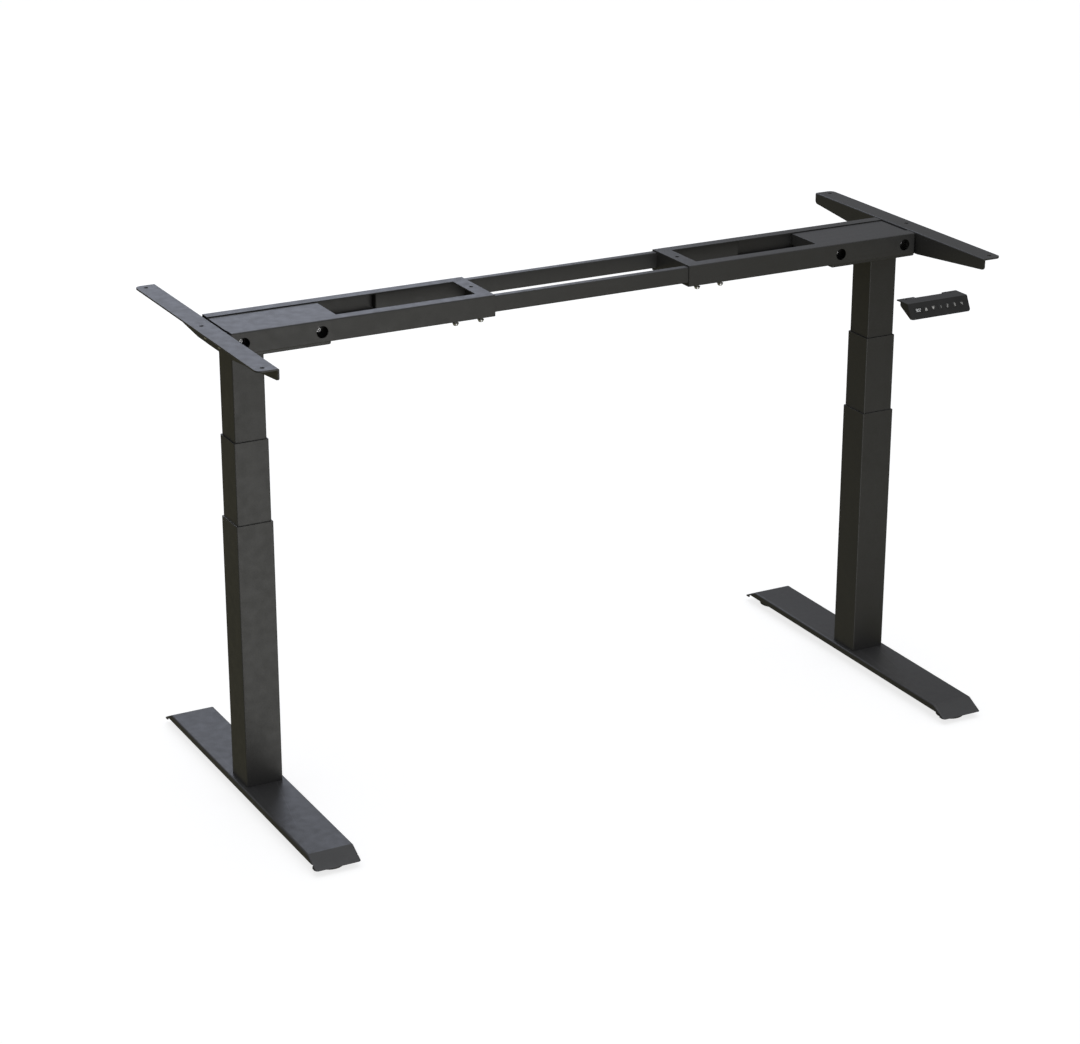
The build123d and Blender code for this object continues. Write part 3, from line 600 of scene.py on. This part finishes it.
def prism(bm, place, outline, thick):
    """A thin plate with a slightly drawn-in top from an outline in the XY plane of place."""
    centre = sum((Vector((x, y)) for x, y in outline), Vector((0, 0))) / len(outline)
    loops = []
    for shrink, z in ((1.0, 0.0), (1.0, thick * 0.6), (0.94, thick)):
        points = (centre + (Vector((x, y)) - centre) * shrink for x, y in outline)
        loops.append([place @ Vector((*point, z)) for point in points])
    skin(bm, loops)


def numeral(bm, place, text, height, stroke, spacing):
    """Seven-segment numerals centred on place."""
    half_h, half_w = height / 2, height * 0.26
    gap = stroke * 0.12
    bars = {"a": ((-half_w, half_h), (half_w, half_h)), "g": ((-half_w, 0), (half_w, 0)),
            "d": ((-half_w, -half_h), (half_w, -half_h)), "b": ((half_w, half_h), (half_w, 0)),
            "c": ((half_w, 0), (half_w, -half_h)), "f": ((-half_w, half_h), (-half_w, 0)),
            "e": ((-half_w, 0), (-half_w, -half_h))}
    for index, digit in enumerate(text):
        shift = Vector(((index - (len(text) - 1) / 2) * spacing, 0))
        for bar in SEGMENTS[digit]:
            a, b = (Vector(end) + shift for end in bars[bar])
            along = (b - a).normalized()
            across = Vector((-along.y, along.x)) * stroke / 2
            a, b = a + along * gap, b - along * gap
            tip = along * stroke / 2
            outline = [a, a + tip + across, b - tip + across, b, b - tip - across, a + tip - across]
            prism(bm, place, [tuple(p) for p in outline], MARK_T)


def arrow(bm, place, size, direction):
    """A solid triangle that points up or down the face, with a short bar at its foot."""
    tip = size / 2 * direction
    triangle = [(-size / 2, -tip * 0.5), (0, tip), (size / 2, -tip * 0.5)]
    bar = [(-size / 2, -tip * 0.8), (size / 2, -tip * 0.8), (size / 2, -tip * 1.1), (-size / 2, -tip * 1.1)]
    prism(bm, place, triangle, MARK_T)
    prism(bm, place, bar, MARK_T)


def handset_marks():
    """The number on the display and the marks on the keys."""
    bm = bmesh.new()
    numeral(bm, on_face(middle("display_lens").x, KEY_DOWN, LENS_TOP), **READOUT)
    piece("display_digits", bm, BODY_OF["display_lens"], "display_gloss", SEGMENT, smooth=False)
    for number in range(1, 7):
        node = f"key_{number}"
        place = on_face(middle(node).x, KEY_DOWN, KEY_TOP)
        bm = bmesh.new()
        if number < 3:
            arrow(bm, place, ARROW, 1 if number == 1 else -1)
        else:
            numeral(bm, place, str(number - 2), **KEY_NUMERAL)
        piece(f"{node}_mark", bm, BODY_OF[node], "key_plastic", INK, smooth=False)


for side in SIDES:
    lock_screws(side)
    frame_bolts(side)
    foot_bolts(side)
    for end in ("front", "back"):
        glide(side, end)
    guide_ring(side, "outer", "middle")
    guide_ring(side, "middle", "inner")
for row in ("front", "back"):
    for s in (-1, 1):
        rail_plug(row, s)
handset_marks()


# ---- stage, light and camera ----------------------------------------------------------------
FLOOR_HALF = 60               # half width of the floor, in metres
FLOOR_GREY = 0.35
FLOOR_GLOW = 0.78             # keeps the floor white while soft contact shadows still show


def floor():
    """White floor, seen from above only, that catches soft shadows and lights nothing."""
    mesh = bpy.data.meshes.new("floor")
    bm = bmesh.new()
    bmesh.ops.create_grid(bm, x_segments=8, y_segments=8, size=FLOOR_HALF)
    bm.to_mesh(mesh)
    bm.free()
    obj = bpy.data.objects.new("floor", mesh)
    bpy.context.scene.collection.objects.link(obj)
    obj.visible_glossy = False
    obj.visible_diffuse = False
    obj.visible_shadow = False
    material = bpy.data.materials.new("floor")
    material.use_nodes = True
    tree = material.node_tree
    shader = tree.nodes["Principled BSDF"]
    shader.inputs["Base Color"].default_value = (FLOOR_GREY, FLOOR_GREY, FLOOR_GREY, 1)
    shader.inputs["Roughness"].default_value = 0.9
    shader.inputs["Specular IOR Level"].default_value = 0.0
    shader.inputs["Emission Color"].default_value = (1, 1, 1, 1)
    shader.inputs["Emission Strength"].default_value = FLOOR_GLOW
    clear = tree.nodes.new("ShaderNodeBsdfTransparent")
    under = tree.nodes.new("ShaderNodeNewGeometry").outputs["Backfacing"]
    mix = tree.nodes.new("ShaderNodeMixShader")
    tree.links.new(under, mix.inputs["Fac"])
    tree.links.new(shader.outputs["BSDF"], mix.inputs[1])
    tree.links.new(clear.outputs["BSDF"], mix.inputs[2])
    tree.links.new(mix.outputs["Shader"], tree.nodes["Material Output"].inputs["Surface"])
    mesh.materials.append(material)


# brightness of the surroundings from straight below, 0, to straight above, 1
SKY = [(0.0, (0.13, 0.125, 0.077)), (0.47, (0.19, 0.178, 0.118)), (0.53, (0.18, 0.18, 0.175)),
       (0.68, (0.23, 0.23, 0.230)), (0.90, (0.47, 0.47, 0.48)), (1.0, (1.90, 1.93, 2.00))]


def studio():
    """Surroundings that light the object: dark and warm below, cool and bright above; white behind it."""
    world = bpy.data.worlds.new("studio")
    bpy.context.scene.world = world
    world.use_nodes = True
    tree = world.node_tree
    out = tree.nodes["World Output"]
    lights = tree.nodes["Background"]
    coords = tree.nodes.new("ShaderNodeTexCoord")
    split = tree.nodes.new("ShaderNodeSeparateXYZ")
    tree.links.new(coords.outputs["Generated"], split.inputs["Vector"])
    height = tree.nodes.new("ShaderNodeMapRange")
    height.inputs["From Min"].default_value = -1.0
    tree.links.new(split.outputs["Z"], height.inputs["Value"])
    ramp = tree.nodes.new("ShaderNodeValToRGB")
    elements = ramp.color_ramp.elements
    while len(elements) < len(SKY):
        elements.new(0.5)
    for element, (position, value) in zip(elements, SKY):
        element.position = position
        element.color = (*value, 1.0)
    tree.links.new(height.outputs["Result"], ramp.inputs["Fac"])
    tree.links.new(ramp.outputs["Color"], lights.inputs["Color"])
    lights.inputs["Strength"].default_value = 1.0
    seen = tree.nodes.new("ShaderNodeBackground")
    seen.inputs["Color"].default_value = (1, 1, 1, 1)
    seen.inputs["Strength"].default_value = 1.0
    path = tree.nodes.new("ShaderNodeLightPath")
    mix = tree.nodes.new("ShaderNodeMixShader")
    tree.links.new(path.outputs["Is Camera Ray"], mix.inputs["Fac"])
    tree.links.new(lights.outputs["Background"], mix.inputs[1])
    tree.links.new(seen.outputs["Background"], mix.inputs[2])
    tree.links.new(mix.outputs["Shader"], out.inputs["Surface"])


def softbox(name, place, target, width, height, watts, colour=(1, 1, 1)):
    lamp = bpy.data.lights.new(name, "AREA")
    lamp.shape = "RECTANGLE"
    lamp.size = width
    lamp.size_y = height
    lamp.energy = watts
    lamp.color = colour
    obj = bpy.data.objects.new(name, lamp)
    obj.location = place
    obj.rotation_euler = (Vector(target) - Vector(place)).to_track_quat("-Z", "Y").to_euler()
    bpy.context.scene.collection.objects.link(obj)


def camera():
    data = bpy.data.cameras.new("camera")
    data.lens = LENS
    data.clip_end = CLIP_END
    obj = bpy.data.objects.new("camera", data)
    turn = (Matrix.Rotation(math.radians(-CAMERA_YAW), 3, "Z")
            @ Matrix.Rotation(math.radians(90 - CAMERA_PITCH), 3, "X")
            @ Matrix.Rotation(math.radians(CAMERA_ROLL), 3, "Z"))
    obj.rotation_euler = turn.to_euler()
    obj.location = EYE
    bpy.context.scene.collection.objects.link(obj)
    bpy.context.scene.camera = obj


floor()
studio()
softbox("front_softbox", place=(0.2, -4.2, -1.4), target=(-0.5, 0, 0.4), width=3.2, height=3.8, watts=68)
softbox("back_softbox", place=(0.9, 4.8, 2.9), target=(-0.4, 0, 0.6), width=3.4, height=2.4, watts=46,
        colour=(0.76, 0.82, 1.0))
camera()
bpy.context.scene.view_settings.view_transform = "Standard"
